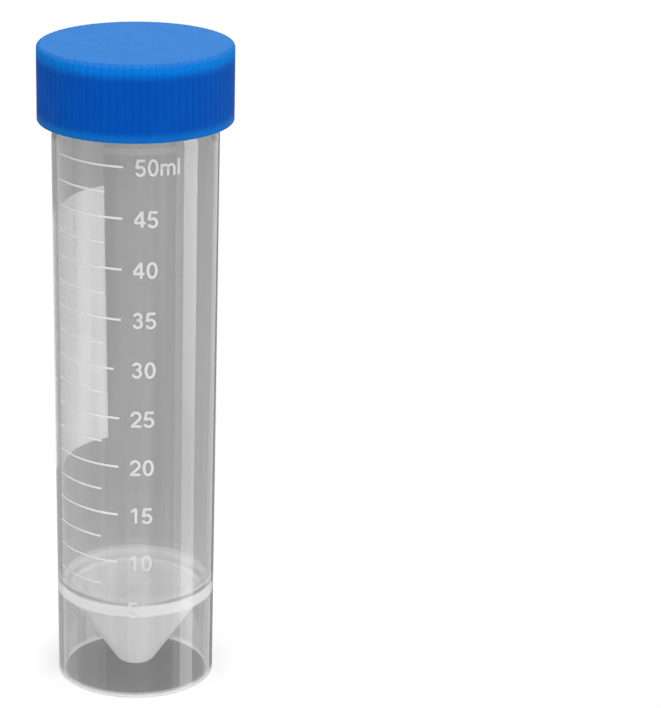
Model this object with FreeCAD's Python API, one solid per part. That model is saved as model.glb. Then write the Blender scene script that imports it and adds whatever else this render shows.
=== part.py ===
"""A 50 ml conical tube that stands on its own skirt, closed by a ribbed screw cap.

Millimetres, +Z up. The origin is the centre of the skirt's foot, on the tube's axis, and the
graduations face -Y. An angle "round the axis" is measured from the front (-Y) towards +X.

Pieces, one STEP file each:
  tube       one moulding: barrel, conical bottom, skirt, neck and two-start outer thread
  cap        one moulding: ribbed shell with the matching two-start inner thread
  cap_liner  the soft sealing disc that the cap presses onto the tube's rim
"""
import FreeCAD
import Part
import math
import os
from FreeCAD import Vector

# ---- Driving dimensions: tube -------------------------------------------------------------
TUBE_HEIGHT = 113.8        # foot to rim
FOOT_RADIUS = 14.08        # outside of the skirt, at the foot
BARREL_TAPER = 0.50        # draft: how much the radius grows from the foot to the shoulder
NECK_LENGTH = 12.4         # shoulder to rim
NECK_STEP = 0.13           # how much the neck, under its thread, stands in from the shoulder
NECK_WALL = 0.93
NECK_BORE_LENGTH = 10.3    # rim to the small step where the neck's bore meets the barrel's
BARREL_WALL = 1.10
SKIRT_WALL = 1.10
CONE_WALL = 1.15
CONE_JOINT_HEIGHT = 16.3   # where the underside of the cone meets the skirt
TIP_HEIGHT = 1.65          # underside of the cone's blunt tip above the foot
TIP_RADIUS = 3.05          # flat of the tip, before its corner is rounded

FOOT_CHAMFER = 0.30        # both edges of the skirt's foot
RIM_CHAMFER = 0.2          # both edges of the rim
TIP_ROUND = 1.9
TIP_BORE_ROUND = 1.3

# ---- Driving dimensions: thread (right-hand, two starts) ---------------------------------
LEAD = 6.0                 # rise of one start in a full turn
STARTS = 2
RIDGE_BASE = 1.80          # width of the neck's ridge at its root
RIDGE_HEIGHT = 0.82
RIDGE_FLANK = 31.0         # degrees, each flank of a ridge from the radial direction
RIDGE_FADE = 12.0          # degrees over which a ridge runs out into the wall at each end
THREAD_END_ANGLE = -49.4   # upper end of the neck's first start, round the axis

# Where the middle of a ridge ends, above and below, on the neck and in the cap
THREAD_BELOW_RIM = 2.6
THREAD_ABOVE_SHOULDER = 2.3
CAP_THREAD_BELOW_RIM = 2.95
CAP_THREAD_ABOVE_LIP = 1.3

CREST_CLEARANCE = 0.27     # neck's crest to the cap's bore
ROOT_CLEARANCE = 0.35      # cap's crest to the neck
THREAD_PLAY = 0.81         # up and down, of a cap's ridge in the neck's groove
LOADED_FLANK_GAP = 0.255   # the part of that play left above the ridges of the closed cap

RIDGE_ROOT = 0.35          # how deep a ridge is rooted in its wall before it is trimmed
SPINE_STEP = 5.0           # degrees between the points that a ridge's spine passes through

# ---- Driving dimensions: cap and liner ---------------------------------------------------
CAP_WALL = 1.54            # cap's bore to the outside of the ribs
CAP_TOP_WALL = 1.9
LIP_GAP = 2.15             # shoulder to the closed cap's lip
CAP_CORNER = 0.75          # chamfer of the top corner, which the ribs run out through
LIP_CHAMFER = 0.35
CAP_BORE_CHAMFER = 0.4
RIBS = 80
RIB_DEPTH = 0.33
RIB_GROOVE = 0.9           # width of the V between two ribs, at the surface
LIP_BAND = 1.5             # smooth band below the ribs
LINER_THICKNESS = 1.3
LINER_CLEARANCE = 0.25     # liner's edge to the cap's bore

# ---- Derived sizes -----------------------------------------------------------------------
SHOULDER_RADIUS = FOOT_RADIUS + BARREL_TAPER
SHOULDER_HEIGHT = TUBE_HEIGHT - NECK_LENGTH
DRAFT = BARREL_TAPER / SHOULDER_HEIGHT
NECK_RADIUS = SHOULDER_RADIUS - NECK_STEP
NECK_BORE = NECK_RADIUS - NECK_WALL
CAP_BORE = NECK_RADIUS + RIDGE_HEIGHT + CREST_CLEARANCE
CAP_RADIUS = CAP_BORE + CAP_WALL
CAP_LIP = SHOULDER_HEIGHT + LIP_GAP
LINER_RADIUS = CAP_BORE - LINER_CLEARANCE
LINER_TOP = TUBE_HEIGHT + LINER_THICKNESS
CAP_TOP = LINER_TOP + CAP_TOP_WALL

PITCH = LEAD / STARTS
FLANK_SLOPE = math.tan(math.radians(RIDGE_FLANK))
THREAD_TOP = TUBE_HEIGHT - THREAD_BELOW_RIM
THREAD_BOTTOM = SHOULDER_HEIGHT + THREAD_ABOVE_SHOULDER
CAP_THREAD_TOP = TUBE_HEIGHT - CAP_THREAD_BELOW_RIM
CAP_THREAD_BOTTOM = CAP_LIP + CAP_THREAD_ABOVE_LIP
CAP_RIDGE_HEIGHT = CAP_BORE - NECK_RADIUS - ROOT_CLEARANCE
CAP_RIDGE_BASE = PITCH + 2 * FLANK_SLOPE * (CAP_BORE - NECK_RADIUS) - RIDGE_BASE - THREAD_PLAY

AXIS = Vector(0, 0, 1)
ORIGIN = Vector(0, 0, 0)


# ---- Geometry helpers ----------------------------------------------------------------------
def barrel_radius(height):
    """Outside radius of the drafted barrel at a height above the foot."""
    return FOOT_RADIUS + DRAFT * height


def polar(radius, degrees_round, height):
    """A point at a radius, an angle round the axis from the front, and a height."""
    angle = math.radians(degrees_round)
    return Vector(radius * math.sin(angle), -radius * math.cos(angle), height)


def rounded_outline(corners):
    """Closed wire in the plane y = 0 through (radius, height, corner round) points."""
    points = [Vector(radius, 0, height) for radius, height, _ in corners]
    starts, ends, edges = [], [], []
    for i, (_, _, corner_round) in enumerate(corners):
        here = points[i]
        back = (points[i - 1] - here).normalize()
        ahead = (points[(i + 1) % len(points)] - here).normalize()
        if corner_round == 0:
            starts.append(here)
            ends.append(here)
            continue
        half_angle = back.getAngle(ahead) / 2
        reach = corner_round / math.tan(half_angle)
        start = here + back * reach
        end = here + ahead * reach
        inward = (back + ahead).normalize()
        middle = here + inward * (corner_round / math.sin(half_angle) - corner_round)
        edges.append(Part.Arc(start, middle, end).toShape())
        starts.append(start)
        ends.append(end)
    for i, end in enumerate(ends):
        following = starts[(i + 1) % len(starts)]
        if end.distanceToPoint(following) > 1e-6:
            edges.append(Part.LineSegment(end, following).toShape())
    return Part.Wire(Part.__sortEdges__(edges))


def turned(corners):
    """Solid of revolution about the axis of a rounded outline."""
    return Part.Face(rounded_outline(corners)).revolve(ORIGIN, AXIS, 360)


def ridge_section(base, height):
    """(radial, axial) points round a ridge: its root in the wall, sloping flanks, flat crest."""
    crest = base - 2 * height * FLANK_SLOPE
    half = [(-RIDGE_ROOT, base / 2), (0, base / 2), (height, crest / 2)]
    return [(across, -along) for across, along in half] + half[::-1]


def thread_ridge(wall_radius, outward, base, height, top_angle, top, bottom):
    """One start of a thread, right-handed. outward is 1 on a neck and -1 in a cap.

    The ridge keeps its section and dives into the wall over RIDGE_FADE degrees at each end.
    """
    sweep_angle = 360 * (top - bottom) / LEAD
    steps = round(sweep_angle / SPINE_STEP)
    dive = height + RIDGE_ROOT / 3
    path = []
    for step in range(steps + 1):
        swept = sweep_angle * step / steps
        fade = min(1.0, swept / RIDGE_FADE, (sweep_angle - swept) / RIDGE_FADE)
        depth = dive * (1 + math.cos(math.pi * fade)) / 2
        path.append(polar(
            wall_radius - outward * depth,
            top_angle - sweep_angle + swept,
            bottom + LEAD * swept / 360,
        ))
    curve = Part.BSplineCurve()
    curve.interpolate(path)

    radial = Vector(path[0].x, path[0].y, 0).normalize() * outward
    section = Part.makePolygon([
        path[0] + radial * across + AXIS * along
        for across, along in ridge_section(base, height)
    ], True)
    sweep = Part.BRepOffsetAPI.MakePipeShell(Part.Wire(curve.toShape()))
    sweep.setBiNormalMode(AXIS)
    sweep.add(section, False, False)
    sweep.build()
    sweep.makeSolid()
    return sweep.shape()


# ---- Pieces --------------------------------------------------------------------------------
def tube_body():
    """Barrel, cone, skirt and plain neck, turned from one outline."""
    skirt_bore = FOOT_RADIUS - SKIRT_WALL
    slope = (skirt_bore - TIP_RADIUS) / (CONE_JOINT_HEIGHT - TIP_HEIGHT)
    wall_across = CONE_WALL * math.hypot(1, slope)
    tip_bore = TIP_RADIUS + slope * CONE_WALL - wall_across
    bore_at_foot = FOOT_RADIUS - BARREL_WALL
    cone_top = (bore_at_foot + wall_across - TIP_RADIUS + slope * TIP_HEIGHT) / (slope - DRAFT)
    step_height = TUBE_HEIGHT - NECK_BORE_LENGTH
    step_bore = barrel_radius(step_height) - BARREL_WALL
    step_rise = abs(NECK_BORE - step_bore)
    shoulder_rise = SHOULDER_RADIUS - NECK_RADIUS
    return turned([
        (FOOT_RADIUS - FOOT_CHAMFER, 0, 0),
        (barrel_radius(FOOT_CHAMFER), FOOT_CHAMFER, 0),
        (SHOULDER_RADIUS, SHOULDER_HEIGHT, 0),
        (NECK_RADIUS, SHOULDER_HEIGHT + shoulder_rise, 0),
        (NECK_RADIUS, TUBE_HEIGHT - RIM_CHAMFER, 0),
        (NECK_RADIUS - RIM_CHAMFER, TUBE_HEIGHT, 0),
        (NECK_BORE + RIM_CHAMFER, TUBE_HEIGHT, 0),
        (NECK_BORE, TUBE_HEIGHT - RIM_CHAMFER, 0),
        (NECK_BORE, step_height + step_rise, 0),
        (step_bore, step_height, 0),
        (barrel_radius(cone_top) - BARREL_WALL, cone_top, 0),
        (tip_bore, TIP_HEIGHT + CONE_WALL, TIP_BORE_ROUND),
        (0, TIP_HEIGHT + CONE_WALL, 0),
        (0, TIP_HEIGHT, 0),
        (TIP_RADIUS, TIP_HEIGHT, TIP_ROUND),
        (skirt_bore, CONE_JOINT_HEIGHT, 0),
        (skirt_bore, FOOT_CHAMFER, 0),
        (skirt_bore + FOOT_CHAMFER, 0, 0),
    ])


def make_tube():
    """The tube with the starts of its thread spaced evenly round the neck.

    The ridges are trimmed at the middle of the neck's wall, so that none shows in its bore.
    """
    core = Part.makeCylinder(NECK_RADIUS - NECK_WALL / 2, TUBE_HEIGHT, ORIGIN, AXIS)
    ridges = [
        thread_ridge(
            NECK_RADIUS, 1, RIDGE_BASE, RIDGE_HEIGHT,
            THREAD_END_ANGLE + 360 * start / STARTS, THREAD_TOP, THREAD_BOTTOM,
        ).cut(core)
        for start in range(STARTS)
    ]
    return tube_body().fuse(ridges).removeSplitter()


def cap_shell():
    """The cap before its ribs and thread are made."""
    bore_top = CAP_TOP - CAP_TOP_WALL
    return turned([
        (0, CAP_TOP, 0),
        (CAP_RADIUS - CAP_CORNER, CAP_TOP, 0),
        (CAP_RADIUS, CAP_TOP - CAP_CORNER, 0),
        (CAP_RADIUS, CAP_LIP + LIP_CHAMFER, 0),
        (CAP_RADIUS - LIP_CHAMFER, CAP_LIP, 0),
        (CAP_BORE + CAP_BORE_CHAMFER, CAP_LIP, 0),
        (CAP_BORE, CAP_LIP + CAP_BORE_CHAMFER, 0),
        (CAP_BORE, bore_top, 0),
        (0, bore_top, 0),
    ])


def rib_grooves():
    """The V grooves that leave the ribs standing, from the lip band up past the top corner."""
    bottom = CAP_LIP + LIP_BAND
    half_angle = math.degrees(RIB_GROOVE / CAP_RADIUS)
    grooves = []
    for rib in range(RIBS):
        middle = 360 * rib / RIBS
        corners = [
            polar(CAP_RADIUS - RIB_DEPTH, middle, bottom),
            polar(CAP_RADIUS + RIB_DEPTH, middle - half_angle, bottom),
            polar(CAP_RADIUS + RIB_DEPTH, middle + half_angle, bottom),
        ]
        outline = Part.Face(Part.makePolygon(corners, True))
        grooves.append(outline.extrude(AXIS * (CAP_TOP - CAP_LIP)))
    return grooves


def make_cap():
    """The cap, with ridges that lie in the grooves of the neck's thread when it is closed.

    The ridges are trimmed half way from the cap's bore to the bottom of its rib grooves.
    """
    groove_line = THREAD_TOP + PITCH / 2 + THREAD_PLAY / 2 - LOADED_FLANK_GAP
    top_angle = THREAD_END_ANGLE + 360 * (CAP_THREAD_TOP - groove_line) / LEAD
    trim_radius = (CAP_BORE + CAP_RADIUS - RIB_DEPTH) / 2
    inside = Part.makeCylinder(trim_radius, CAP_TOP, ORIGIN, AXIS)
    ridges = [
        thread_ridge(
            CAP_BORE, -1, CAP_RIDGE_BASE, CAP_RIDGE_HEIGHT,
            top_angle + 360 * start / STARTS, CAP_THREAD_TOP, CAP_THREAD_BOTTOM,
        ).common(inside)
        for start in range(STARTS)
    ]
    return cap_shell().cut(rib_grooves()).fuse(ridges).removeSplitter()


def make_cap_liner():
    """The sealing disc, flat on the rim and flat under the cap's top."""
    return Part.makeCylinder(LINER_RADIUS, LINER_THICKNESS, Vector(0, 0, TUBE_HEIGHT), AXIS)


def main():
    """Builds every piece and writes one STEP file for each."""
    os.makedirs("parts", exist_ok=True)
    pieces = {
        "tube": make_tube(),
        "cap": make_cap(),
        "cap_liner": make_cap_liner(),
    }
    for name, shape in pieces.items():
        shape.exportStep(f"parts/{name}.step")
        box = shape.BoundBox
        print(
            f"{name}: {len(shape.Solids)} solid, {shape.Volume / 1000:.3f} ml of plastic,"
            f" valid {shape.isValid()}, z {box.ZMin:.2f} to {box.ZMax:.2f}"
        )


main()
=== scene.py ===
# %% [markdown]
# # A 50 ml conical tube and its screw cap
#
# The real tube is one moulding of milky polypropylene: a long drafted barrel, a cone at the
# bottom, a skirt that it stands on, and a neck with a two-start thread. White ink on the outside
# gives the graduations and a patch to write on. The cap is one moulding of blue polyethylene with
# fine upright ribs, and a soft disc inside it seals the rim. The construction model fixes where
# everything is. This script gives each piece its finer form and its finish.

import math

import bmesh
import bpy
from mathutils import Matrix, Vector


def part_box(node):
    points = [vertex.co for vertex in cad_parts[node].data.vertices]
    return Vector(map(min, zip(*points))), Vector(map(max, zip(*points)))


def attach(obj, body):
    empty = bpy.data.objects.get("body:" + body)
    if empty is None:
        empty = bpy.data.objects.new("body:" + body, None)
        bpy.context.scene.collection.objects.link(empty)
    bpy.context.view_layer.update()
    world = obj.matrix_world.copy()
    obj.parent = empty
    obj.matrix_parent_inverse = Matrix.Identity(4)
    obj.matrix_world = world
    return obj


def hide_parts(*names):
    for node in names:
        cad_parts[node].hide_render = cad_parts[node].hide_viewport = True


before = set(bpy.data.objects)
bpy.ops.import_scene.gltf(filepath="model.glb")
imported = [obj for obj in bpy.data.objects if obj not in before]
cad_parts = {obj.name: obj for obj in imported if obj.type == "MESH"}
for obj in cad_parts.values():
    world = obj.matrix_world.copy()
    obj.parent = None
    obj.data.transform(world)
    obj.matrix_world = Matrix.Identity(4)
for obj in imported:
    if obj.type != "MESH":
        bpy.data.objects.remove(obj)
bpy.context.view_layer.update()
MM = 0.001

_, tube_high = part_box("tube")
cap_low, cap_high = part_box("cap")
_, liner_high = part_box("cap_liner")
RIM = tube_high.z
CAP_LIP = cap_low.z
CAP_TOP = cap_high.z
CAP_RADIUS = (cap_high.x - cap_low.x) / 2
print(f"rim at {RIM * 1000:.1f} mm, cap from {CAP_LIP * 1000:.2f} to {CAP_TOP * 1000:.1f} mm")

# %% [markdown]
# ## Turned shapes
#
# Both mouldings are round about one axis, so each starts as half of its section: an outline in
# the plane through the axis, spun once round it. An outline is a list of corners, each with the
# radius that rounds it. Real mouldings have no sharp edge, and it is the rounding that catches
# the light, so nearly every corner has one. Smooth shading blends the slope across each corner
# into the faces beside it, and on a clear wall that bends what is seen through it. A narrow row at
# each end of a rounding keeps the blend off the straight walls.

# %% Outline and spin helpers
ARC_STEPS = 6
BESIDE = 0.12 * MM
HAIR = 0.001 * MM
WELD = 1e-7


def rounded(corners):
    """The points of an outline whose (radius, height, round) corners are turned into arcs."""
    points = []
    for i, (radius, height, corner_round) in enumerate(corners):
        here = Vector((radius, height))
        if corner_round == 0:
            points.append(here)
            continue
        back = (Vector(corners[i - 1][:2]) - here).normalized()
        ahead = (Vector(corners[(i + 1) % len(corners)][:2]) - here).normalized()
        half_angle = back.angle(ahead) / 2
        reach = corner_round / math.tan(half_angle)
        centre = here + (back + ahead).normalized() * corner_round / math.sin(half_angle)
        start = here + back * reach - centre
        turn = (here + ahead * reach - centre).angle_signed(start)
        points.append(here + back * (reach + BESIDE))
        for step in range(ARC_STEPS + 1):
            points.append(centre + Matrix.Rotation(turn * step / ARC_STEPS, 2) @ start)
        points.append(here + ahead * (reach + BESIDE))
    return points


def spun(corners, steps, wall_radius, low, high, spacing):
    """A bmesh of the outline spun round the axis. The wall at a radius, between two heights, is
    cut into rows first."""
    bm = bmesh.new()
    verts = [bm.verts.new((point.x, 0, point.y)) for point in rounded(corners)]
    edges = [bm.edges.new((a, b)) for a, b in zip(verts, verts[1:])]
    wall = [
        edge for edge in edges
        if all(abs(v.co.x - wall_radius) < HAIR for v in edge.verts)
        and all(low - HAIR < v.co.z < high + HAIR for v in edge.verts)
    ]
    for edge in wall:
        cuts = int(edge.calc_length() / spacing)
        bmesh.ops.subdivide_edges(bm, edges=[edge], cuts=cuts)
    bmesh.ops.spin(
        bm, geom=bm.verts[:] + bm.edges[:], cent=(0, 0, 0), axis=(0, 0, 1),
        dvec=(0, 0, 0), angle=math.tau, steps=steps, use_merge=True,
    )
    bmesh.ops.remove_doubles(bm, verts=bm.verts, dist=WELD)
    bmesh.ops.recalc_face_normals(bm, faces=bm.faces)
    return bm


def finished(bm, name, material, body, smooth_angle=35):
    """Turns a bmesh into a piece that rides on a body."""
    mesh = bpy.data.meshes.new(name)
    bm.to_mesh(mesh)
    bm.free()
    mesh.shade_smooth()
    mesh.set_sharp_from_angle(angle=math.radians(smooth_angle))
    mesh.materials.append(material)
    piece = bpy.data.objects.new(name, mesh)
    bpy.context.scene.collection.objects.link(piece)
    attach(piece, body)
    print(f"{name}: {len(mesh.polygons)} faces")
    return piece

# %% [markdown]
# ## The tube's form
#
# The barrel, the cone, the skirt and the neck are one turned shape. On the real tube the cone
# flows into the barrel with a soft fillet inside and a smaller one below, and that thick junction
# is what shows as a milky ring. The same few sizes as the construction model set the outline.

# %% Tube sizes and outline
FOOT_RADIUS = 14.08 * MM
SHOULDER_RADIUS = 14.58 * MM
NECK_LENGTH = 12.4 * MM
NECK_BORE_LENGTH = 10.3 * MM
SHOULDER = RIM - NECK_LENGTH
NECK_RADIUS = 14.45 * MM
NECK_BORE = 13.52 * MM
BORE_STEP = RIM - NECK_BORE_LENGTH
BARREL_WALL = 1.10 * MM
SKIRT_BORE = 12.98 * MM
CONE_WALL = 1.15 * MM
CONE_JOINT = 16.3 * MM
TIP = 1.65 * MM
TIP_RADIUS = 3.05 * MM
TUBE_STEPS = 256

TIP_ROUND = 1.6 * MM
TIP_BORE_ROUND = 1.3 * MM
SKIRT_FILLET = 0.2 * MM
CONE_FILLET = 5 * MM
FOOT_ROUND = 0.35 * MM
RIM_ROUND = 0.25 * MM
SHOULDER_ROUND = 2 * MM
SHOULDER_DROP = 0.5 * MM
NECK_FOOT_ROUND = 1 * MM
NECK_FOOT_RISE = 0.7 * MM
BORE_STEP_RISE = 1.2 * MM
draft = (SHOULDER_RADIUS - FOOT_RADIUS) / SHOULDER


def barrel_radius(height):
    """Outside radius of the drafted barrel."""
    return FOOT_RADIUS + draft * height


cone_slope = (SKIRT_BORE - TIP_RADIUS) / (CONE_JOINT - TIP)
cone_across = CONE_WALL * math.hypot(1, cone_slope)
cone_top = (
    (FOOT_RADIUS - BARREL_WALL + cone_across - TIP_RADIUS + cone_slope * TIP)
    / (cone_slope - draft)
)
tip_bore = TIP_RADIUS + cone_slope * CONE_WALL - cone_across
print(f"the inner cone meets the bore {cone_top * 1000:.2f} mm up")

THREAD_LOW = SHOULDER + 0.9 * MM
THREAD_HIGH = RIM - 1.3 * MM
THREAD_ROWS = 0.14 * MM
tube_outline = [
    (0, TIP, 0),
    (TIP_RADIUS, TIP, TIP_ROUND),
    (SKIRT_BORE, CONE_JOINT, SKIRT_FILLET),
    (SKIRT_BORE, 0, FOOT_ROUND),
    (FOOT_RADIUS, 0, FOOT_ROUND),
    (SHOULDER_RADIUS, SHOULDER - SHOULDER_DROP, SHOULDER_ROUND),
    (NECK_RADIUS, SHOULDER + NECK_FOOT_RISE, NECK_FOOT_ROUND),
    (NECK_RADIUS, THREAD_LOW, 0),
    (NECK_RADIUS, THREAD_HIGH, 0),
    (NECK_RADIUS, RIM, RIM_ROUND),
    (NECK_BORE, RIM, RIM_ROUND),
    (NECK_BORE, BORE_STEP + BORE_STEP_RISE, 0),
    (barrel_radius(BORE_STEP) - BARREL_WALL, BORE_STEP, 0),
    (barrel_radius(cone_top) - BARREL_WALL, cone_top, CONE_FILLET),
    (tip_bore, TIP + CONE_WALL, TIP_BORE_ROUND),
    (0, TIP + CONE_WALL, 0),
]

# %% [markdown]
# ## The thread
#
# Two starts run side by side up the neck and rise 6 mm in a turn, so the cap lets go after about a
# turn and a third. A ridge could be swept along a helix and joined to the neck. Here the neck's
# own wall is cut into fine rows and pushed out where a ridge passes, which keeps the tube one
# clean skin and gives the ridges soft flanks and round ends, as a mould does.

# %% Thread
LEAD = 6.0 * MM
STARTS = 2
THREAD_TOP = RIM - 2.6 * MM
THREAD_BOTTOM = SHOULDER + 2.3 * MM
THREAD_TOP_ANGLE = -49.4
RIDGE_BASE = 1.80 * MM
RIDGE_RISE = 0.82 * MM
FLANK = math.tan(math.radians(31))


def smooth(t):
    """0 to 1 with soft ends, for t from 0 to 1 and beyond."""
    t = min(max(t, 0.0), 1.0)
    return t * t * (3 - 2 * t)


def round_angle(co):
    """Angle round the axis in degrees, from the front (-Y) towards +X."""
    return math.degrees(math.atan2(co.x, -co.y))


def ridge_height(co, wall, top_angle, top, bottom, base, rise):
    """How far the ridges stand out of a wall at a point on it."""
    sweep = 360 * (top - bottom) / LEAD
    highest = 0.0
    for start in range(STARTS):
        lower_end = top_angle + 360 * start / STARTS - sweep
        swept = (round_angle(co) - lower_end) % 360
        while swept < sweep:
            to_end = math.radians(min(swept, sweep - swept)) * wall
            past_round = max(0.0, base / 2 - to_end)
            away = math.hypot(co.z - bottom - LEAD * swept / 360, past_round)
            share = (base / 2 - away) / (rise * FLANK)
            highest = max(highest, rise * smooth(share))
            swept += 360
    return highest


def push_thread(bm, wall, outward, low, high, **ridge):
    """Moves the points of a wall out, or in, where a ridge passes."""
    moved = 0
    for vert in bm.verts:
        radius = math.hypot(vert.co.x, vert.co.y)
        if abs(radius - wall) > HAIR or not low < vert.co.z < high:
            continue
        height = ridge_height(vert.co, wall, **ridge)
        if height > 0:
            share = (radius + outward * height) / radius
            vert.co.x *= share
            vert.co.y *= share
            moved += 1
    assert moved, "the wall has no rows for the thread"
    print(f"thread: {moved} points moved")


tube_bm = spun(tube_outline, TUBE_STEPS, NECK_RADIUS, THREAD_LOW, THREAD_HIGH, THREAD_ROWS)
push_thread(
    tube_bm, NECK_RADIUS, 1, THREAD_LOW, THREAD_HIGH,
    top_angle=THREAD_TOP_ANGLE, top=THREAD_TOP, bottom=THREAD_BOTTOM,
    base=RIDGE_BASE, rise=RIDGE_RISE,
)

# %% [markdown]
# ## The cap's form
#
# The cap is a thick cup with 80 fine ribs. They run from a smooth band above the lip up into the
# rounded top corner, where they fade out and leave the edge beaded. Eight points to a rib are
# enough for the light to read each one.

# %% Cap outline, ribs and inner thread
CAP_BORE = 15.54 * MM
CAP_CORNER = 0.75 * MM
CAP_LIP_ROUND = 0.35 * MM
CAP_BORE_ROUND = 0.3 * MM
RIBS = 80
RIB_POINTS = 8
RIB_DEPTH = 0.17 * MM
GROOVE_POWER = 1.3
LIP_BAND = 1.5 * MM
RIB_RUNOUT = 0.5 * MM
RIB_END_ARC = (60, 90)
CORNER_DEEPER = 0.6
CAP_THREAD_TOP = RIM - 2.95 * MM
CAP_THREAD_BOTTOM = CAP_LIP + 1.3 * MM
CAP_RIDGE_BASE = 1.70 * MM
CAP_RIDGE_RISE = 0.74 * MM
THREAD_TAKE_UP = 0.15 * MM
GROOVE_LINE = THREAD_TOP + LEAD / STARTS / 2 + THREAD_TAKE_UP
CAP_THREAD_TOP_ANGLE = THREAD_TOP_ANGLE + 360 * (CAP_THREAD_TOP - GROOVE_LINE) / LEAD
bore_low = CAP_LIP + 0.4 * MM
bore_high = CAP_THREAD_TOP + CAP_RIDGE_BASE
band_top = CAP_LIP + LIP_BAND
cap_outline = [
    (0, CAP_TOP, 0),
    (CAP_RADIUS - 3 * CAP_CORNER, CAP_TOP, 0),
    (CAP_RADIUS - 1.2 * CAP_CORNER, CAP_TOP, 0),
    (CAP_RADIUS, CAP_TOP, CAP_CORNER),
    (CAP_RADIUS, CAP_TOP - 2 * CAP_CORNER, 0),
    (CAP_RADIUS, band_top + 2 * RIB_RUNOUT, 0),
    (CAP_RADIUS, band_top - RIB_RUNOUT, 0),
    (CAP_RADIUS, CAP_LIP, CAP_LIP_ROUND),
    (CAP_BORE, CAP_LIP, CAP_BORE_ROUND),
    (CAP_BORE, bore_low, 0),
    (CAP_BORE, bore_high, 0),
    (CAP_BORE, liner_high.z, CAP_BORE_ROUND),
    (0, liner_high.z, 0),
]


def groove(angle):
    """How deep the grooves between the ribs are at an angle: 0 on a rib's crest."""
    across = (1 - math.cos(math.radians(angle * RIBS))) / 2
    return RIB_DEPTH * across ** GROOVE_POWER


def cut_ribs(bm):
    """Draws the cap's side and its top corner in to the bottoms of the grooves."""
    corner_radius = CAP_RADIUS - CAP_CORNER
    corner_height = CAP_TOP - CAP_CORNER
    for vert in bm.verts:
        radius = math.hypot(vert.co.x, vert.co.y)
        up = max(0, vert.co.z - corner_height)
        out = radius - corner_radius
        if out <= 0 or vert.co.z < band_top:
            continue
        arc = math.degrees(math.atan2(up, out))
        depth = groove(round_angle(vert.co)) * smooth((vert.co.z - band_top) / RIB_RUNOUT)
        depth *= 1 + CORNER_DEEPER * smooth(arc / RIB_END_ARC[0])
        depth *= 1 - smooth((arc - RIB_END_ARC[0]) / (RIB_END_ARC[1] - RIB_END_ARC[0]))
        share = (radius - depth * math.cos(math.radians(arc))) / radius
        vert.co.x *= share
        vert.co.y *= share
        vert.co.z -= depth * math.sin(math.radians(arc))


cap_bm = spun(cap_outline, RIBS * RIB_POINTS, CAP_BORE, bore_low, bore_high, THREAD_ROWS)
cut_ribs(cap_bm)
push_thread(
    cap_bm, CAP_BORE, -1, bore_low, bore_high,
    top_angle=CAP_THREAD_TOP_ANGLE, top=CAP_THREAD_TOP, bottom=CAP_THREAD_BOTTOM,
    base=CAP_RIDGE_BASE, rise=CAP_RIDGE_RISE,
)

# %% [markdown]
# ## Ink on the barrel
#
# The print is a film of white ink: a line for every 2.5 ml, a number for every 5 ml, and a patch
# to write on round the back. It could be painted in the tube's material, but a film with its own
# thickness keeps a crisp edge at any distance and can be seen from inside, through the wall. Each
# line is a small cross-section spun through its angle. The whole print leans a little round the
# tube, as a screen that wasn't quite square to it leaves it.

# %% Lines and patch
INK_PROUD = 0.02 * MM
INK_SUNK = 0.03 * MM
LINE_WIDTH = 0.38 * MM
FULL_LINE = RIM - 14.9 * MM
RISE_PER_ML = 1.810 * MM
LEAN = 0.125  # degrees round the tube for each ml
TILT = 1.6  # degrees that a line falls towards its right end
LINES_LEFT = -63.0
LONG_RIGHT = -8.2
SHORT_RIGHT = -20.9
WORN_LINE = (30, 4.6)  # ml, and the degrees missing at its right end
PATCH_ANGLES = (-155.0, -79.0)
PATCH_LEAN = 0.088
PATCH_HEIGHTS = (39.4 * MM, 87.4 * MM)
INK_STEP = 1.4  # degrees
LINE_TENTHS = range(75, 501, 25)
LONG_EVERY = 50


def line_height(ml):
    """Height of the graduation for a volume."""
    return FULL_LINE - RISE_PER_ML * (50 - ml)


def lean(height, per_ml=LEAN):
    """How far round the print has drifted at a height, in degrees."""
    return per_ml * (height - FULL_LINE) / RISE_PER_ML


def on_barrel(degrees, height, proud):
    """A point a little proud of the barrel."""
    angle = math.radians(degrees)
    radius = barrel_radius(height) + proud
    return Vector((radius * math.sin(angle), -radius * math.cos(angle), height))


def ink_band(bm, left, right, low, high, per_ml=LEAN):
    """A strip of ink from one angle to another and from one height to another."""
    corners = [(low, -INK_SUNK), (low, INK_PROUD), (high, INK_PROUD), (high, -INK_SUNK)]
    turn = math.radians(right - left)
    fall = math.tan(math.radians(TILT)) * turn * barrel_radius(low)
    steps = math.ceil((right - left) / INK_STEP)
    face = bm.faces.new([
        bm.verts.new(on_barrel(left + lean(z, per_ml), z + fall, proud)) for z, proud in corners
    ])
    bmesh.ops.spin(
        bm, geom=[face, *face.edges, *face.verts], cent=(0, 0, 0), axis=(0, 0, 1),
        dvec=(0, 0, -fall / steps), angle=turn, steps=steps,
    )


lines_bm = bmesh.new()
for tenths in LINE_TENTHS:
    ml = tenths / 10
    height = line_height(ml)
    right = LONG_RIGHT if tenths % LONG_EVERY == 0 else SHORT_RIGHT
    if ml == WORN_LINE[0]:
        right -= WORN_LINE[1]
    ink_band(
        lines_bm, LINES_LEFT, right, height - LINE_WIDTH / 2, height + LINE_WIDTH / 2,
    )
bmesh.ops.recalc_face_normals(lines_bm, faces=lines_bm.faces)

patch_bm = bmesh.new()
ink_band(patch_bm, *PATCH_ANGLES, *PATCH_HEIGHTS, PATCH_LEAN)
bmesh.ops.recalc_face_normals(patch_bm, faces=patch_bm.faces)

# %% [markdown]
# ## Numbers
#
# Screen-printed figures on labware are plain, even strokes. A text object would be quicker, but
# the built-in letter shapes are bookish. Here each figure is drawn with a flat pen: an edge as
# wide as the stroke is extruded for a straight run and spun for a curve. The figures are one unit
# high, and every curve leaves in the direction that it arrived, so strokes stay smooth.

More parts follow.
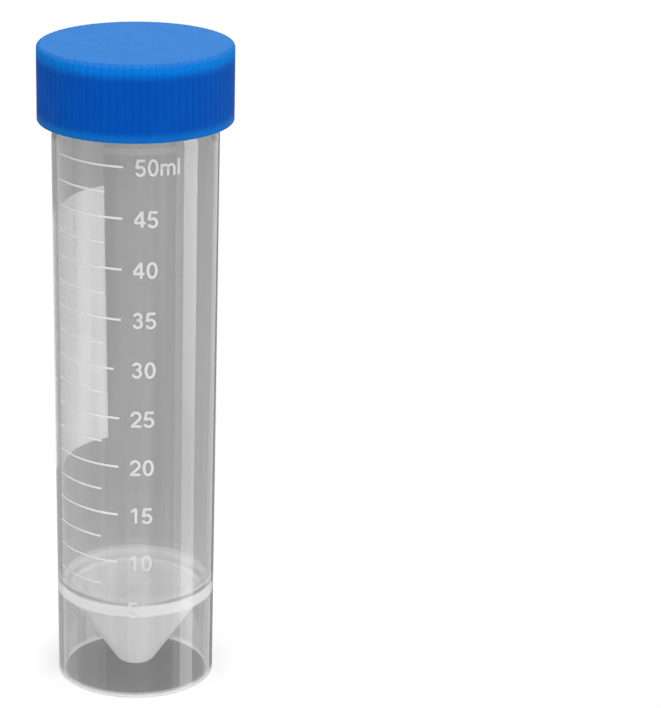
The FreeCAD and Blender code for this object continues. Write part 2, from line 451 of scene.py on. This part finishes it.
# %% A pen for figures
PEN_WIDTH = 0.168
ARC_DEGREES = 15


def stroke(bm, x, y, heading, *moves):
    """One pen stroke. A move is a straight run, or a radius and the degrees it turns left."""
    along = Vector((math.cos(math.radians(heading)), math.sin(math.radians(heading)), 0))
    across = Vector((-along.y, along.x, 0))
    start = Vector((x, y, 0))
    ends = [bm.verts.new(start + across * side * PEN_WIDTH / 2) for side in (-1, 1)]
    nib = bm.edges.new(ends)
    for move in moves:
        middle = (nib.verts[0].co + nib.verts[1].co) / 2
        if isinstance(move, tuple):
            radius, turn = move
            side = 1 if turn > 0 else -1
            swept = bmesh.ops.spin(
                bm, geom=[nib, *nib.verts], cent=middle + across * side * radius,
                axis=(0, 0, 1), dvec=(0, 0, 0), angle=math.radians(turn),
                steps=max(2, math.ceil(abs(turn) / ARC_DEGREES)),
            )["geom_last"]
            turned = Matrix.Rotation(math.radians(turn), 3, "Z")
            along, across = turned @ along, turned @ across
        else:
            swept = bmesh.ops.extrude_edge_only(bm, edges=[nib])["geom"]
            moved = [item for item in swept if isinstance(item, bmesh.types.BMVert)]
            bmesh.ops.translate(bm, vec=along * move, verts=moved)
        nib = next(item for item in swept if isinstance(item, bmesh.types.BMEdge))


ROUND_TOP = 0.2
ROUND_SIDE = 0.72
SIDE_TURN = 28.7
TOP_TURN = 180 - 2 * SIDE_TURN
FIGURES = {
    "0": (0.777, [
        (0.648, 0.5, 90, (ROUND_SIDE, SIDE_TURN), (ROUND_TOP, TOP_TURN),
         (ROUND_SIDE, 2 * SIDE_TURN), (ROUND_TOP, TOP_TURN), (ROUND_SIDE, SIDE_TURN)),
    ]),
    "1": (0.777, [(0.455, 0, 90, 1.0), (0.15, 0.775, 12, (0.34, 52), 0.02)]),
    "2": (0.777, [
        (0.105, 0.69, 90, (0.252, -180), (0.3, -45), 0.59), (0.045, 0.059, 0, 0.63),
    ]),
    "3": (0.777, [
        (0.143, 0.77, 80, (0.205, -260)), (0.29, 0.53, 0, 0.055, (0.236, -262)),
    ]),
    "4": (0.777, [
        (0.50, 0, 90, 1.0), (0.035, 0.29, 0, 0.66), (0.47, 0.95, -124.5, 0.74),
    ]),
    "5": (0.777, [
        (0.185, 0.94, 0, 0.465), (0.215, 0.98, -100.5, 0.53), (0.16, 0.47, 48, (0.26, -297)),
    ]),
    "m": (1.163, [
        (0.153, 0, 90, 0.725), (0.153, 0.45, 90, (0.214, -180), 0.45),
        (0.581, 0.45, 90, (0.214, -180), 0.45),
    ]),
    "l": (0.31, [(0.155, 0, 90, 1.0)]),
}

# %% Numbers on the barrel
FIGURE_HEIGHT = 2.85 * MM
NUMBER_LEFT = -0.6
NUMBER_DROP = 0.1 * MM
FULL_NUMBER = ("50ml", 0.95)
STRIP = 0.35 * MM


def flat_number(body, width_share):
    """A bmesh of a number, lying flat with its lower left corner at the origin."""
    bm = bmesh.new()
    advance = 0
    for figure in body:
        width, strokes = FIGURES[figure]
        for x, y, heading, *moves in strokes:
            stroke(bm, advance + x, y, heading, *moves)
        advance += width
    bmesh.ops.scale(
        bm, vec=(FIGURE_HEIGHT * width_share, FIGURE_HEIGHT, FIGURE_HEIGHT), verts=bm.verts,
    )
    return bm


def sliced(bm):
    """Cuts a flat number into upright strips."""
    right = max(vert.co.x for vert in bm.verts)
    for i in range(1, int(right / STRIP) + 1):
        bmesh.ops.bisect_plane(
            bm, geom=bm.verts[:] + bm.edges[:] + bm.faces[:],
            plane_co=(i * STRIP, 0, 0), plane_no=(1, 0, 0), dist=WELD,
        )


def wrapped_number(into, body, height, width_share=1.0):
    """Adds a number to a bmesh, wrapped round the barrel with its middle at a height."""
    bm = flat_number(body, width_share)
    sliced(bm)
    bmesh.ops.recalc_face_normals(bm, faces=bm.faces)
    raised = bmesh.ops.extrude_face_region(bm, geom=bm.faces[:], use_keep_orig=True)["geom"]
    top = [item for item in raised if isinstance(item, bmesh.types.BMVert)]
    bmesh.ops.translate(bm, vec=(0, 0, INK_PROUD + INK_SUNK), verts=top)
    for vert in bm.verts:
        across, up, out = vert.co
        z = height + up - FIGURE_HEIGHT / 2 - across * math.tan(math.radians(TILT))
        angle = NUMBER_LEFT + lean(height) + math.degrees(across / barrel_radius(height))
        vert.co = on_barrel(angle, z, out - INK_SUNK)
    bmesh.ops.recalc_face_normals(bm, faces=bm.faces)
    mesh = bpy.data.meshes.new("wrapped number")
    bm.to_mesh(mesh)
    bm.free()
    into.from_mesh(mesh)
    bpy.data.meshes.remove(mesh)


numbers_bm = bmesh.new()
for ml in range(5, 50, 5):
    wrapped_number(numbers_bm, str(ml), line_height(ml) - NUMBER_DROP)
wrapped_number(numbers_bm, FULL_NUMBER[0], line_height(50) - NUMBER_DROP, FULL_NUMBER[1])
print(f"numbers: {len(numbers_bm.faces)} faces")

# %% [markdown]
# ## Node helpers
#
# Every finish here is a node tree in object coordinates, so it keeps its place and its scale on
# the piece from any side. The trees are long to write out in full. These few helpers add a node,
# a sum or a soft ramp in one line each.

# %% Node helpers


def new_material(name):
    """An empty material and its node tree."""
    material = bpy.data.materials.new(name)
    material.use_nodes = True
    material.node_tree.nodes.clear()
    return material, material.node_tree


def node(tree, kind, inputs=None, **settings):
    """A node with its plain inputs set and its linked inputs joined."""
    made = tree.nodes.new(kind)
    for key, value in settings.items():
        setattr(made, key, value)
    for key, value in (inputs or {}).items():
        if isinstance(value, bpy.types.NodeSocket):
            tree.links.new(value, made.inputs[key])
        else:
            made.inputs[key].default_value = value
    return made


def math_node(tree, operation, first, second=0.5, third=0.5):
    """The result of a Math node."""
    made = node(tree, "ShaderNodeMath", operation=operation)
    for socket, value in zip(made.inputs, (first, second, third)):
        if isinstance(value, bpy.types.NodeSocket):
            tree.links.new(value, socket)
        else:
            socket.default_value = value
    return made.outputs[0]


def ramp(tree, value, low, high, start=0.0, end=1.0):
    """A value that goes smoothly from start to end as another goes from low to high."""
    return node(tree, "ShaderNodeMapRange", {
        "Value": value, "From Min": low, "From Max": high, "To Min": start, "To Max": end,
    }, interpolation_type="SMOOTHSTEP").outputs[0]


# %% [markdown]
# ## Unevenness
#
# No moulded or printed surface is quite even: there is a fine grain from the mould's steel or the
# screen's mesh, and a slow drift of tone from how the melt or the ink flowed. Each material could
# have its own noises. One node group gives both, and each material takes them at its own scale.

# %% Grain and drift
uneven = bpy.data.node_groups.new("unevenness", "ShaderNodeTree")
uneven.interface.new_socket("Place", in_out="INPUT", socket_type="NodeSocketVector")
uneven.interface.new_socket("Grain Scale", in_out="INPUT", socket_type="NodeSocketFloat")
uneven.interface.new_socket("Drift Scale", in_out="INPUT", socket_type="NodeSocketFloat")
uneven.interface.new_socket("Grain", in_out="OUTPUT", socket_type="NodeSocketFloat")
uneven.interface.new_socket("Drift", in_out="OUTPUT", socket_type="NodeSocketFloat")
given = node(uneven, "NodeGroupInput").outputs
noises = {}
for kind in ("Grain", "Drift"):
    noises[kind] = node(uneven, "ShaderNodeTexNoise", {
        "Vector": given["Place"], "Scale": given[f"{kind} Scale"], "Detail": 3.0,
    }).outputs[0]
node(uneven, "NodeGroupOutput", noises)


def unevenness(tree, place, grain_scale, drift_scale):
    """The grain and the drift at a place, each about 0.5, at a number of patches to the metre."""
    made = node(tree, "ShaderNodeGroup", {
        "Place": place, "Grain Scale": grain_scale, "Drift Scale": drift_scale,
    }, node_tree=uneven)
    return made.outputs["Grain"], made.outputs["Drift"]

# %% [markdown]
# ## Milky plastic
#
# Polypropylene is clear enough to read through and cloudy enough to glow where it is thick. A glass
# shader alone looks like water, and a plain alpha has no thickness. This finish is a grey tinted
# refraction with a share of white scatter, and the scatter grows where the moulding is thick: at
# the ring where the cone meets the barrel, on the cone, at the rim and on the ridges. The tint is
# light, except where a line of sight leaves through the outer skin: there it is nearly black. That
# is painted shade, which darkens what is seen through the tube as dark surroundings would.
# The barrel was drawn upwards off its core, which leaves faint upright streaks in the tint.

# %% Milky plastic
CONE_MILK = 0.85
TIP_MILK = 0.98
GLOW_SHARE = 0.3
INSIDE_MILK = (0.5, 0.08)
RING_MILK = 0.42
HAZE_MILK = 0.06
FOOT_MILK = 0.6
RIDGE_MILK = 0.4
LET_IN = 0.85
LET_OUT = 0.084

CONE_SKIN = (-1.0 * MM, -0.5 * MM)
CONE_EDGE = (12.86 * MM, 12.96 * MM)
CONE_END = (17.6 * MM, 18.6 * MM)
TIP_RISE = (2 * MM, 12 * MM)
INSIDE_RISE = (8 * MM, 16 * MM)
RING_START = (15.65 * MM, 16.25 * MM)
RING_END = (17.7 * MM, 18.5 * MM)
RING_CORE = (10.9 * MM, 11.3 * MM)
HAZE_END = (18.4 * MM, 20.6 * MM)
FOOT_FADE = (0.4 * MM, 0.9 * MM)
OUTER_SKIN = (13.75 * MM, 13.95 * MM)
STREAK_STRETCH = (260, 260, 6)
STREAK_TONE = (0.9, 1.1)
PLASTIC_IOR = 1.49
MILK_WHITE = (0.96, 0.96, 0.96, 1)

# %% Where the plastic is milky
tube_plastic, tree = new_material("milky polypropylene")
where = node(tree, "ShaderNodeTexCoord").outputs["Object"]
split = node(tree, "ShaderNodeSeparateXYZ", {0: where})
height = split.outputs["Z"]
flat = node(tree, "ShaderNodeCombineXYZ", {"X": split.outputs["X"], "Y": split.outputs["Y"]})
radius = node(tree, "ShaderNodeVectorMath", {0: flat.outputs[0]}, operation="LENGTH")
radius = radius.outputs["Value"]

slant = math_node(tree, "MULTIPLY_ADD", height, -cone_slope, cone_slope * TIP - TIP_RADIUS)
beyond = math_node(tree, "ADD", radius, slant)
inner_side = ramp(tree, beyond, *CONE_SKIN, 1.0, 0.0)
towards_tip = ramp(tree, height, *TIP_RISE, TIP_MILK, CONE_MILK)
inside_milk = ramp(tree, height, *INSIDE_RISE, *INSIDE_MILK)
cone = node(tree, "ShaderNodeMix", {0: inner_side, 2: towards_tip, 3: inside_milk})
cone = math_node(tree, "MULTIPLY", cone.outputs[0], ramp(tree, radius, *CONE_EDGE, 1.0, 0.0))
cone = math_node(tree, "MULTIPLY", cone, ramp(tree, height, *CONE_END, 1.0, 0.0))
ring = math_node(
    tree, "MULTIPLY", ramp(tree, height, *RING_START, 0.0, RING_MILK),
    ramp(tree, height, *RING_END, 1.0, 0.0),
)
haze = math_node(
    tree, "MULTIPLY", ramp(tree, height, *RING_START),
    ramp(tree, height, *HAZE_END, HAZE_MILK, 0.0),
)
ring = math_node(tree, "MAXIMUM", ring, haze)
ring = math_node(tree, "MULTIPLY", ring, ramp(tree, radius, *RING_CORE))
foot = ramp(tree, height, *FOOT_FADE, FOOT_MILK, 0.0)
rim = ramp(tree, height, RIM - 0.9 * MM, RIM - 0.3 * MM, 0.0, FOOT_MILK)
ridges = ramp(tree, radius, NECK_RADIUS + 0.1 * MM, NECK_RADIUS + 0.6 * MM, 0.0, RIDGE_MILK)
milk_share = math_node(tree, "MAXIMUM", cone, ring)
for other in (foot, rim, ridges):
    milk_share = math_node(tree, "MAXIMUM", milk_share, other)

# %% How the walls tint the light
# Painted shade: a line of sight that leaves through the outer skin is tinted nearly black, so what
# is seen through the tube looks as if dark surroundings stood behind it.
outside = ramp(tree, radius, *OUTER_SKIN)
leaving = node(tree, "ShaderNodeNewGeometry").outputs["Backfacing"]
painted_exit_shade = math_node(tree, "MULTIPLY", outside, leaving)
passed = math_node(tree, "MULTIPLY_ADD", painted_exit_shade, LET_OUT - LET_IN, LET_IN)
drawn = node(tree, "ShaderNodeMapping", {"Vector": where, "Scale": STREAK_STRETCH})
streaks = node(tree, "ShaderNodeTexNoise", {
    "Vector": drawn.outputs[0], "Scale": 1.0, "Detail": 3.0, "Roughness": 0.6,
}).outputs[0]
passed = math_node(tree, "MULTIPLY", passed, ramp(tree, streaks, 0.3, 0.7, *STREAK_TONE))
tint = node(tree, "ShaderNodeCombineColor", {"Red": passed, "Green": passed, "Blue": passed})

# %% Clear and milky plastic
grain, _ = unevenness(tree, where, 900, 120)
clear = node(tree, "ShaderNodeBsdfPrincipled", {
    "Base Color": tint.outputs[0],
    "Roughness": ramp(tree, grain, 0.35, 0.65, 0.035, 0.065),
    "IOR": PLASTIC_IOR,
    "Transmission Weight": 0.9,
})
lamps_through = node(tree, "ShaderNodeBsdfTransparent", {"Color": (0.97, 0.97, 0.97, 1)})
path = node(tree, "ShaderNodeLightPath")
glass = node(tree, "ShaderNodeMixShader", {
    0: path.outputs["Is Shadow Ray"],
    1: clear.outputs[0],
    2: lamps_through.outputs[0],
})
scatter = node(tree, "ShaderNodeBsdfPrincipled", {
    "Base Color": MILK_WHITE,
    "Roughness": 0.3,
    "IOR": PLASTIC_IOR,
})
glow = node(tree, "ShaderNodeBsdfTranslucent", {"Color": MILK_WHITE})
milk = node(tree, "ShaderNodeMixShader", {0: GLOW_SHARE, 1: scatter.outputs[0], 2: glow.outputs[0]})
plastic = node(tree, "ShaderNodeMixShader", {
    0: milk_share, 1: glass.outputs[0], 2: milk.outputs[0],
})
node(tree, "ShaderNodeOutputMaterial", {"Surface": plastic.outputs[0]})

# %% [markdown]
# ## White ink
#
# The ink is a matt white film. The lines and numbers lie thin, so they are greyer than the patch,
# and painted shade makes them a little darker towards the bottom. A plain white would do from afar.
# Close to, the screen's mesh leaves a fine grain and the film is a little cloudy.

# %% White ink
LINE_TONE = 0.71
NUMBER_TONE = 0.63
FLOODED_TONE = 0.96
LOW_SHADE = 0.85
INK_SHADE_RISE = (18 * MM, 38 * MM)


def ink_material(name, tone, low_shade):
    """Matt white ink, of a tone that falls with how thin it lies, with painted shade towards the
    bottom.
    """
    material, tree = new_material(name)
    where = node(tree, "ShaderNodeTexCoord").outputs["Object"]
    height = node(tree, "ShaderNodeSeparateXYZ", {0: where}).outputs["Z"]
    grain, drift = unevenness(tree, where, 2200, 150)
    laid = ramp(tree, grain, 0.32, 0.5, 0.93 * tone, tone)
    laid = math_node(tree, "MULTIPLY", laid, ramp(tree, drift, 0.3, 0.7, 0.975, 1.015))
    # Painted shade: the ink is a little darker towards the bottom, where the lamps fall strongly.
    painted_low_shade = ramp(tree, height, *INK_SHADE_RISE, low_shade, 1.0)
    laid = math_node(tree, "MULTIPLY", laid, painted_low_shade)
    white = node(tree, "ShaderNodeCombineColor", {"Red": laid, "Green": laid, "Blue": laid})
    ink = node(tree, "ShaderNodeBsdfPrincipled", {
        "Base Color": white.outputs[0],
        "Roughness": ramp(tree, grain, 0.35, 0.65, 0.45, 0.6),
        "Specular IOR Level": 0.2,
    })
    node(tree, "ShaderNodeOutputMaterial", {"Surface": ink.outputs[0]})
    return material


line_ink = ink_material("white line ink", LINE_TONE, LOW_SHADE)
number_ink = ink_material("white number ink", NUMBER_TONE, LOW_SHADE)
flooded_ink = ink_material("flooded white ink", FLOODED_TONE, 1.0)

# %% [markdown]
# ## Blue cap plastic
#
# The polyethylene is a deep blue that lets a little light in. Paler blues are painted in at the top
# edge, on the flat top and at the lip: a painted highlight along the top edge, a painted sheen on
# the top and painted light at the thin lip. These are painted light, and they stay in other light
# too. The surface is satin, with a fine grain off the mould and a slow drift in the blue.

# %% Blue cap plastic
# The side blue is the plastic's own colour. The edge, top and lip blues are painted light: a
# painted highlight along the top edge, a painted sheen on the top and painted light at the lip.
SIDE_BLUE = (0.002, 0.081, 0.425, 1)
EDGE_HIGHLIGHT_BLUE = (0.003, 0.186, 0.64, 1)
TOP_SHEEN_BLUE = (0.021, 0.146, 0.452, 1)
LIP_LIGHT_BLUE = (0.006, 0.145, 0.50, 1)
LIP_LIGHT_BLEND = (CAP_LIP + 2.0 * MM, CAP_LIP + 0.6 * MM)
EDGE_HIGHLIGHT_BLEND = (CAP_TOP - 3.2 * MM, CAP_TOP - 1.0 * MM)
TOP_SHEEN_BLEND = (CAP_TOP - 0.8 * MM, CAP_TOP - 0.25 * MM)

cap_blue, tree = new_material("blue polyethylene")
where = node(tree, "ShaderNodeTexCoord").outputs["Object"]
height = node(tree, "ShaderNodeSeparateXYZ", {0: where}).outputs["Z"]
# Painted light: the lip, edge and top blues are laid over the side blue by height.
tint = SIDE_BLUE
for share, colour in (
    (ramp(tree, height, *LIP_LIGHT_BLEND), LIP_LIGHT_BLUE),
    (ramp(tree, height, *EDGE_HIGHLIGHT_BLEND), EDGE_HIGHLIGHT_BLUE),
    (ramp(tree, height, *TOP_SHEEN_BLEND), TOP_SHEEN_BLUE),
):
    tint = node(
        tree, "ShaderNodeMix", {0: share, 6: tint, 7: colour}, data_type="RGBA",
    ).outputs[2]
grain, drift = unevenness(tree, where, 2600, 180)
tint = node(tree, "ShaderNodeVectorMath", {
    0: tint, "Scale": ramp(tree, drift, 0.3, 0.7, 0.97, 1.03),
}, operation="SCALE").outputs[0]
satin = node(tree, "ShaderNodeBump", {
    "Strength": 0.12, "Distance": 0.015 * MM, "Height": grain,
})
blue = node(tree, "ShaderNodeBsdfPrincipled", {
    "Base Color": tint,
    "Normal": satin.outputs[0],
    "Roughness": ramp(tree, grain, 0.35, 0.65, 0.36, 0.46),
    "Specular IOR Level": 0.009,
    "Subsurface Weight": 0.6,
    "Subsurface Radius": (0.3, 0.7, 1.0),
    "Subsurface Scale": 1.2 * MM,
})
node(tree, "ShaderNodeOutputMaterial", {"Surface": blue.outputs[0]})

# %% [markdown]
# ## Liner foam
#
# The sealing disc is closed-cell polyethylene foam, off-white and dull. A noise would look like
# dust on it. Its cut faces are a field of small cells, so a cell pattern dents the surface, and
# painted shade darkens the bottom of each dent.

# %% Liner foam
liner_white, tree = new_material("liner foam")
where = node(tree, "ShaderNodeTexCoord").outputs["Object"]
cells = node(tree, "ShaderNodeTexVoronoi", {"Vector": where, "Scale": 2200.0}).outputs["Distance"]
grain, drift = unevenness(tree, where, 1500, 140)
# Painted shade: each cell is darker towards the bottom of its dent.
pale = ramp(tree, cells, 0.0, 0.55, 0.70, 0.84)
pale = math_node(tree, "MULTIPLY", pale, ramp(tree, drift, 0.3, 0.7, 0.97, 1.02))
warm = math_node(tree, "MULTIPLY", pale, 0.975)
off_white = node(tree, "ShaderNodeCombineColor", {"Red": pale, "Green": pale, "Blue": warm})
dents = node(tree, "ShaderNodeBump", {"Strength": 0.6, "Distance": 0.08 * MM, "Height": cells})
foam = node(tree, "ShaderNodeBsdfPrincipled", {
    "Base Color": off_white.outputs[0],
    "Normal": dents.outputs[0],
    "Roughness": ramp(tree, grain, 0.3, 0.7, 0.75, 0.9),
})
node(tree, "ShaderNodeOutputMaterial", {"Surface": foam.outputs[0]})

# %% [markdown]
# ## Pieces
#
# The tube and the cap take the place of their construction shapes, and the print rides on the
# tube. The liner is a plain disc already, so it keeps its shape and only takes the foam.

# %% Pieces
tube = finished(tube_bm, "tube_moulding", tube_plastic, "tube_body")
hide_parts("tube")
cap = finished(cap_bm, "cap_moulding", cap_blue, "cap_body")
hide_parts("cap")
finished(lines_bm, "graduation_lines", line_ink, "tube_body")
finished(patch_bm, "writing_patch", flooded_ink, "tube_body")
finished(numbers_bm, "graduation_numbers", number_ink, "tube_body")
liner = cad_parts["cap_liner"]
liner.data.materials.clear()
liner.data.materials.append(liner_white)

# %% [markdown]
# ## Studio
#
# A white surround, a pale floor that fades into it, a broad soft lamp overhead and a tall one at
# the right, whose reflection is the long bright streak down the barrel.

# %% Camera
CAMERA_BACK = 471.8 * MM
CAMERA_UP = 225.07 * MM
CAMERA_DOWN = 19.22
CAMERA_LENS = 143.12
CAMERA_SHIFT = 0.2753

camera = bpy.data.objects.new("camera", bpy.data.cameras.new("camera"))
camera.location = (0, -CAMERA_BACK, CAMERA_UP)
camera.rotation_euler = (math.radians(90 - CAMERA_DOWN), 0, 0)
camera.data.lens = CAMERA_LENS
camera.data.shift_x = CAMERA_SHIFT
camera.data.clip_start = 0.01
bpy.context.scene.collection.objects.link(camera)
bpy.context.scene.camera = camera

# %% Surround and lamps
SURROUND_LIGHT = 0.42
SOFTBOX_HEIGHTS = (-0.16, -0.03)
SOFTBOX_SHINE = (1.0, 1.6)


def lamp(name, place, aim, width, height, watts):
    """An area lamp that points from a place at a point."""
    data = bpy.data.lights.new(name, "AREA")
    data.shape = "RECTANGLE"
    data.size = width
    data.size_y = height
    data.energy = watts
    made = bpy.data.objects.new(name, data)
    made.location = place
    made.rotation_euler = (Vector(aim) - Vector(place)).to_track_quat("-Z", "Y").to_euler()
    made.visible_camera = False
    made.visible_transmission = False
    bpy.context.scene.collection.objects.link(made)
    return made


world = bpy.data.worlds.new("white surround")
bpy.context.scene.world = world
world.use_nodes = True
tree = world.node_tree
tree.nodes.clear()
path = node(tree, "ShaderNodeLightPath")
seen = math_node(tree, "MAXIMUM", path.outputs["Is Camera Ray"], path.outputs["Is Glossy Ray"])
seen = math_node(tree, "MAXIMUM", seen, path.outputs["Is Transmission Ray"])
strength = math_node(tree, "MULTIPLY_ADD", seen, 1 - SURROUND_LIGHT, SURROUND_LIGHT)
surround = node(tree, "ShaderNodeBackground", {"Color": (1, 1, 1, 1), "Strength": strength})
node(tree, "ShaderNodeOutputWorld", {"Surface": surround.outputs[0]})

centre = (0, 0, CAP_TOP / 2)
lamp("overhead", (0.0, -0.05, 0.9), centre, 0.9, 0.9, 8.0)
front = lamp("front", (0.18, -0.94, 0.15), centre, 1.6, 0.35, 7.6)
front.visible_glossy = False
softbox = lamp("right softbox", (0.5, -0.08, 0.0), (0, 0, 0), 0.215, 0.9, 1.62)
softbox.visible_diffuse = False
softbox.data.use_nodes = True
tree = softbox.data.node_tree
tree.nodes.clear()
spot = node(tree, "ShaderNodeNewGeometry").outputs["Position"]
up = node(tree, "ShaderNodeSeparateXYZ", {0: spot}).outputs["Z"]
shine = node(tree, "ShaderNodeEmission", {
    "Strength": ramp(tree, up, *SOFTBOX_HEIGHTS, *SOFTBOX_SHINE),
})
node(tree, "ShaderNodeOutputLight", {"Surface": shine.outputs[0]})

# %% [markdown]
# ## Floor
#
# Little light reaches the table inside the skirt, so the floor is dark there and pale outside. It
# could be left to the lamps alone, but the clear wall lets too much of their light through. The
# pale part fades out, so the tube seems to stand on the white of the surround.

# %% Floor
FLOOR_RADIUS = 90 * MM
FLOOR_FULL = 30 * MM
SHADE_OUT = FOOT_RADIUS + 0.3 * MM
FLOOR_TONES = (0.12, 0.92)

floor_bm = bmesh.new()
bmesh.ops.create_circle(floor_bm, cap_ends=True, segments=96, radius=FLOOR_RADIUS)
floor_mesh = bpy.data.meshes.new("floor")
floor_bm.to_mesh(floor_mesh)
floor_bm.free()
floor = bpy.data.objects.new("floor", floor_mesh)
bpy.context.scene.collection.objects.link(floor)
floor.visible_glossy = False

pale, tree = new_material("pale floor")
where = node(tree, "ShaderNodeTexCoord").outputs["Object"]
distance = node(tree, "ShaderNodeVectorMath", {0: where}, operation="LENGTH").outputs["Value"]
there = ramp(tree, distance, FLOOR_FULL, FLOOR_RADIUS, 1.0, 0.0)
shade = ramp(tree, distance, SKIRT_BORE, SHADE_OUT, *FLOOR_TONES)
tone = node(tree, "ShaderNodeCombineColor", {"Red": shade, "Green": shade, "Blue": shade})
board = node(tree, "ShaderNodeBsdfPrincipled", {
    "Base Color": tone.outputs[0], "Roughness": 0.9, "Specular IOR Level": 0.0,
    "Alpha": there,
})
node(tree, "ShaderNodeOutputMaterial", {"Surface": board.outputs[0]})
floor_mesh.materials.append(pale)

# %% [markdown]
# ## Cards round the tube
#
# A clear, upright wall shows what it mirrors: near its edges the studio behind it, in the middle
# the dark room by the camera. Real studios hang grey and white cards there. These are upright
# strips that are seen in reflections alone, so they light nothing and hide nothing.

# %% Cards round the tube
CARD_LOW = -0.6
CARD_HIGH = 0.06


def card(name, tone, away, low_angles, high_angles, low=CARD_LOW, high=CARD_HIGH):
    """An upright card that glows with a tone, from one angle to another at its low edge and at
    its high edge."""
    material, tree = new_material(name)
    shine = node(tree, "ShaderNodeEmission", {"Color": (1, 1, 1, 1), "Strength": tone})
    node(tree, "ShaderNodeOutputMaterial", {"Surface": shine.outputs[0]})
    bm = bmesh.new()
    bmesh.ops.create_grid(bm, x_segments=12, y_segments=1, size=0.5)
    for vert in bm.verts:
        share = vert.co.x + 0.5
        angles, height = (low_angles, low) if vert.co.y < 0 else (high_angles, high)
        angle = math.radians(angles[0] + (angles[1] - angles[0]) * share)
        vert.co = (away * math.sin(angle), -away * math.cos(angle), height)
    mesh = bpy.data.meshes.new(name)
    bm.to_mesh(mesh)
    bm.free()
    mesh.materials.append(material)
    made = bpy.data.objects.new(name, mesh)
    bpy.context.scene.collection.objects.link(made)
    made.visible_camera = False
    made.visible_diffuse = False
    made.visible_transmission = False
    made.visible_shadow = False


card("left edge card", 0.57, 0.6, (-180, -137), (-180, -137))
card("left card", 1.5, 0.6, (-134, -96), (-134, -96))
card("right card", 0.9, 0.6, (105, 162), (105, 162))
card("right edge card", 0.3, 0.5, (135, 179), (161, 179), -0.45, 0.1)
card("window", 1.3, 0.5, (105, 134), (145, 160), -0.45, 0.1)
card("dark room", 0.05, 0.5, (-44, 56), (-44, 56))

# %% [markdown]
# ## Finish
#
# A line of sight through the tube crosses many clear surfaces, so light may bounce more often than
# usual before it is dropped. With too few bounces the clear walls turn black.

# %% Finish
LIGHT_BOUNCES = 24
CLEAR_SURFACES = 32

scene = bpy.context.scene
scene.view_settings.view_transform = "Standard"
scene.cycles.transparent_max_bounces = CLEAR_SURFACES
scene.cycles.max_bounces = LIGHT_BOUNCES
scene.cycles.transmission_bounces = LIGHT_BOUNCES
